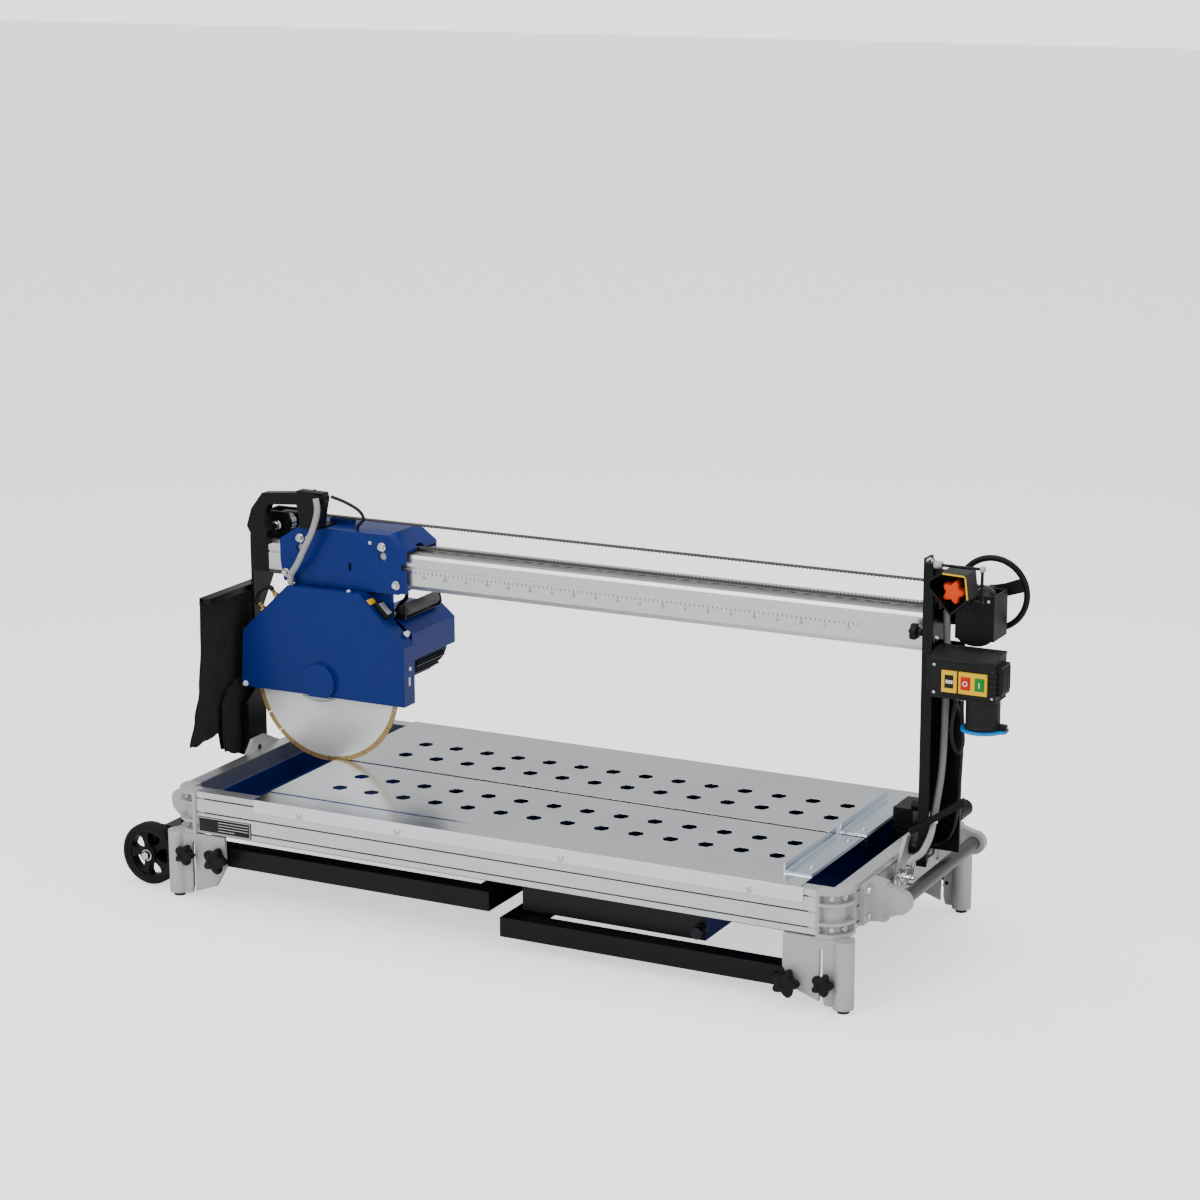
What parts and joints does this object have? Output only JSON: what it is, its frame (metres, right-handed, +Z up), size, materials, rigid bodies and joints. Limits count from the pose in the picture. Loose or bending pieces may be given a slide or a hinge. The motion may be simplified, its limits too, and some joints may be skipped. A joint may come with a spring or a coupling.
{
  "type": "wet tile saw",
  "caption": "Long floor-standing wet tile saw: slotted table over a water tray, bridge beam with a sliding blade head, drive belt and handwheel, folding legs and transport wheels.",
  "frame": {"origin": "on the floor below the middle of the overall length and width, under the blade slot", "axes": "+Z up, +X along the cutting travel towards the handwheel end, -Y towards the side with the rating plate"},
  "size_m": [1.854, 0.7006, 0.813],
  "materials": {
    "rail_silver": "satin anodised",
    "beam_silver": "satin anodised",
    "casting_grey": "painted casting",
    "foot_rubber": "matt",
    "bar_steel": "dull",
    "tray_navy": "satin",
    "table_steel": "bright rolled",
    "fence_steel": "bright rolled",
    "screw_steel": "bright",
    "plate_black": "semi gloss",
    "black_paint": "satin",
    "black_plastic": "moulded",
    "belt_rubber": "matt",
    "curtain_rubber": "rough",
    "box_plastic": "moulded",
    "yellow_plate": "semi gloss",
    "conduit_grey": "corrugated",
    "blue_paint": "hammered satin",
    "motor_dark": "painted fins",
    "brass": "bright",
    "blade_steel": "ground",
    "pulley_steel": "turned",
    "wheel_rubber": "matt",
    "orange_plastic": "semi gloss",
    "red_plastic": "semi gloss",
    "green_plastic": "semi gloss",
    "cap_blue": "semi gloss",
    "tap_chrome": "bright"
  },
  "bodies": {
    "frame": {"long_rails": "rail_silver", "end_rails": "rail_silver", "end_castings": "casting_grey", "leg_brackets": "casting_grey", "leg_feet": "foot_rubber", "carry_bar": "bar_steel", "water_tray": "tray_navy", "table_halves": "table_steel", "fences": "fence_steel", "frame_screws": "screw_steel", "rating_plate": "plate_black", "mast_feet": "casting_grey", "wheel_axle": "black_paint", "pump": "black_plastic", "tap_body": "tap_chrome"},
    "bridge": {"beam": "beam_silver", "mast_left": "black_paint", "mast_right": "black_paint", "idler_block": "black_paint", "drive_housing": "black_plastic", "drive_belt": "belt_rubber", "switch_box": "box_plastic", "switch_plate": "yellow_plate", "knob_guard": "black_paint", "mast_conduit": "conduit_grey", "splash_curtain": "curtain_rubber", "strut_arm": "black_paint"},
    "carriage": {"carriage_hood": "blue_paint", "carriage_bolts": "screw_steel", "blade_guard": "blue_paint", "motor": "motor_dark", "motor_cover": "blue_paint", "head_grip": "black_plastic", "hose_yoke": "black_paint", "laser": "black_plastic", "water_fittings": "brass", "head_conduit": "conduit_grey"},
    "blade": {"blade": "blade_steel"},
    "handwheel": {"handwheel": "black_plastic"},
    "idler_pulley": {"idler_pulley": "pulley_steel"},
    "roller_left": {"roller_left": "pulley_steel"},
    "roller_right": {"roller_right": "pulley_steel"},
    "leg_frame_left": {"leg_frame_left": "black_paint"},
    "leg_frame_right": {"leg_frame_right": "black_paint"},
    "wheel_front": {"wheel_front": "wheel_rubber"},
    "wheel_back": {"wheel_back": "wheel_rubber"},
    "pivot_knob_fl": {"pivot_knob_fl": "black_plastic"},
    "pivot_knob_bl": {"pivot_knob_bl": "black_plastic"},
    "pivot_knob_fr": {"pivot_knob_fr": "black_plastic"},
    "pivot_knob_br": {"pivot_knob_br": "black_plastic"},
    "lock_knob_fl": {"lock_knob_fl": "black_plastic"},
    "lock_knob_bl": {"lock_knob_bl": "black_plastic"},
    "lock_knob_fr": {"lock_knob_fr": "black_plastic"},
    "lock_knob_br": {"lock_knob_br": "black_plastic"},
    "mast_knob": {"mast_knob": "black_plastic"},
    "brake_knob": {"brake_knob": "orange_plastic"},
    "stop_button": {"stop_button": "red_plastic"},
    "start_button": {"start_button": "green_plastic"},
    "socket_cap": {"socket_cap": "cap_blue"},
    "tap_lever": {"tap_lever": "tap_chrome"}
  },
  "joints": [
    {"name": "bridge_tilt", "type": "hinge", "parent": "frame", "child": "bridge", "pos_m": [-0.023, 0, 0.2355], "axis": [1, 0, 0], "range_deg": [0, 45]},
    {"name": "carriage_slide", "type": "slide", "parent": "bridge", "child": "carriage", "axis": [1, 0, 0], "range_m": [0, 1]},
    {"name": "blade_spin", "type": "hinge", "parent": "carriage", "child": "blade", "pos_m": [-0.594, 0, 0.405], "axis": [0, 1, 0], "continuous": true},
    {"name": "handwheel_spin", "type": "hinge", "parent": "bridge", "child": "handwheel", "pos_m": [0.843, 0.115, 0.7255], "axis": [0, 1, 0], "range_deg": [-10, 2690]},
    {"name": "idler_spin", "type": "hinge", "parent": "bridge", "child": "idler_pulley", "pos_m": [-0.731, 0.068, 0.7255], "axis": [0, 1, 0], "range_deg": [-10, 2690]},
    {"name": "roller_left_spin", "type": "hinge", "parent": "carriage", "child": "roller_left", "pos_m": [-0.656, 0.02, 0.71], "axis": [0, 1, 0], "range_deg": [-10, 4170]},
    {"name": "roller_right_spin", "type": "hinge", "parent": "carriage", "child": "roller_right", "pos_m": [-0.455, 0.02, 0.71], "axis": [0, 1, 0], "range_deg": [-10, 4170]},
    {"name": "leg_left_fold", "type": "hinge", "parent": "frame", "child": "leg_frame_left", "pos_m": [-0.663, 0, 0.096], "axis": [0, 1, 0], "range_deg": [0, 95]},
    {"name": "leg_right_fold", "type": "hinge", "parent": "frame", "child": "leg_frame_right", "pos_m": [0.617, 0, 0.048], "axis": [0, -1, 0], "range_deg": [0, 95]},
    {"name": "wheel_front_roll", "type": "hinge", "parent": "frame", "child": "wheel_front", "pos_m": [-0.861, -0.282, 0.068], "axis": [0, 1, 0], "continuous": true},
    {"name": "wheel_back_roll", "type": "hinge", "parent": "frame", "child": "wheel_back", "pos_m": [-0.861, 0.282, 0.068], "axis": [0, 1, 0], "continuous": true},
    {"name": "pivot_knob_fl_turn", "type": "hinge", "parent": "frame", "child": "pivot_knob_fl", "pos_m": [-0.663, -0.33, 0.096], "axis": [0, -1, 0], "continuous": true},
    {"name": "pivot_knob_bl_turn", "type": "hinge", "parent": "frame", "child": "pivot_knob_bl", "pos_m": [-0.663, 0.33, 0.096], "axis": [0, 1, 0], "continuous": true},
    {"name": "pivot_knob_fr_turn", "type": "hinge", "parent": "frame", "child": "pivot_knob_fr", "pos_m": [0.617, -0.33, 0.048], "axis": [0, -1, 0], "continuous": true},
    {"name": "pivot_knob_br_turn", "type": "hinge", "parent": "frame", "child": "pivot_knob_br", "pos_m": [0.617, 0.33, 0.048], "axis": [0, 1, 0], "continuous": true},
    {"name": "lock_knob_fl_turn", "type": "hinge", "parent": "frame", "child": "lock_knob_fl", "pos_m": [-0.738, -0.33, 0.098], "axis": [0, -1, 0], "continuous": true},
    {"name": "lock_knob_bl_turn", "type": "hinge", "parent": "frame", "child": "lock_knob_bl", "pos_m": [-0.738, 0.33, 0.098], "axis": [0, 1, 0], "continuous": true},
    {"name": "lock_knob_fr_turn", "type": "hinge", "parent": "frame", "child": "lock_knob_fr", "pos_m": [0.692, -0.33, 0.056], "axis": [0, -1, 0], "continuous": true},
    {"name": "lock_knob_br_turn", "type": "hinge", "parent": "frame", "child": "lock_knob_br", "pos_m": [0.692, 0.33, 0.056], "axis": [0, 1, 0], "continuous": true},
    {"name": "mast_knob_turn", "type": "hinge", "parent": "bridge", "child": "mast_knob", "pos_m": [0.7382, -0.002, 0.664], "axis": [1, 0, 0], "continuous": true},
    {"name": "brake_knob_turn", "type": "hinge", "parent": "bridge", "child": "brake_knob", "pos_m": [0.823, -0.024, 0.76], "axis": [0, 1, 0], "continuous": true},
    {"name": "stop_press", "type": "slide", "parent": "bridge", "child": "stop_button", "axis": [0, 1, 0], "range_m": [0, 0.003], "stiffness_N_per_m": 900},
    {"name": "start_press", "type": "slide", "parent": "bridge", "child": "start_button", "axis": [0, 1, 0], "range_m": [0, 0.003], "stiffness_N_per_m": 900},
    {"name": "cap_open", "type": "hinge", "parent": "bridge", "child": "socket_cap", "pos_m": [0.9245, -0.02, 0.4947], "axis": [0, -1, 0], "range_deg": [0, 95], "stiffness_Nm_per_rad": 0.15, "springref_deg": -22.92},
    {"name": "tap_turn", "type": "hinge", "parent": "frame", "child": "tap_lever", "pos_m": [0.7628, -0.07, 0.194], "axis": [1, 0, 0], "range_deg": [0, 90]}
  ],
  "couplings": [
    {"joint": "handwheel_spin", "follows": "carriage_slide", "rad_per_m": 42.553},
    {"joint": "idler_spin", "follows": "carriage_slide", "rad_per_m": 42.553},
    {"joint": "roller_left_spin", "follows": "carriage_slide", "rad_per_m": 72.464},
    {"joint": "roller_right_spin", "follows": "carriage_slide", "rad_per_m": 72.464}
  ]
}
